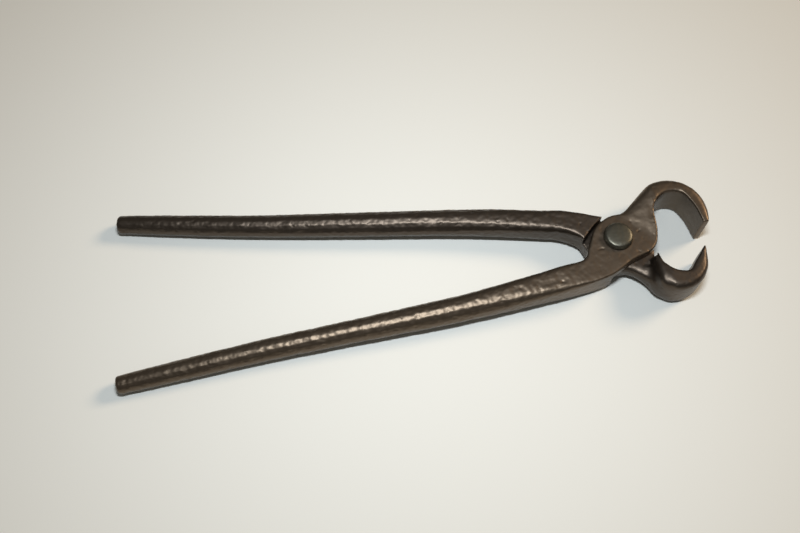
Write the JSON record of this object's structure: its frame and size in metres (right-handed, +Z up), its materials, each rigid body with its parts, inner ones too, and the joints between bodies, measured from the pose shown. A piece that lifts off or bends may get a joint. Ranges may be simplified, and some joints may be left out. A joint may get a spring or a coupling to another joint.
{
  "type": "hoof nipper",
  "caption": "Hoof nipper with long tapered handles, a riveted lap joint, and hooked jaws that end in cutting edges.",
  "frame": {"origin": "on the bench, under the middle of the tool's bounding box", "axes": "+X along the tool toward the jaws, +Y across it toward the upper half's jaw, +Z up, close to the rivet's axis; the tool lies on its jaws and rein ends, so its own plane leans 1.15 degrees about Y"},
  "size_m": [0.3504, 0.112, 0.0246],
  "materials": {
    "lower_forging": "hand-forged carbon steel, dark brown patina",
    "upper_forging": "hand-forged carbon steel, brown patina, worn on the boss",
    "rivet": "hammered rivet steel, worn"
  },
  "bodies": {
    "lower": {"lower_half": "lower_forging", "pivot_rivet": "rivet"},
    "upper": {"upper_half": "upper_forging"}
  },
  "joints": [
    {"name": "jaw_hinge", "type": "hinge", "parent": "lower", "child": "upper", "pos_m": [0.11925, 0.00048, 0.01158], "axis": [-0.02, 0, 0.9998], "range_deg": [-17, 28]}
  ]
}
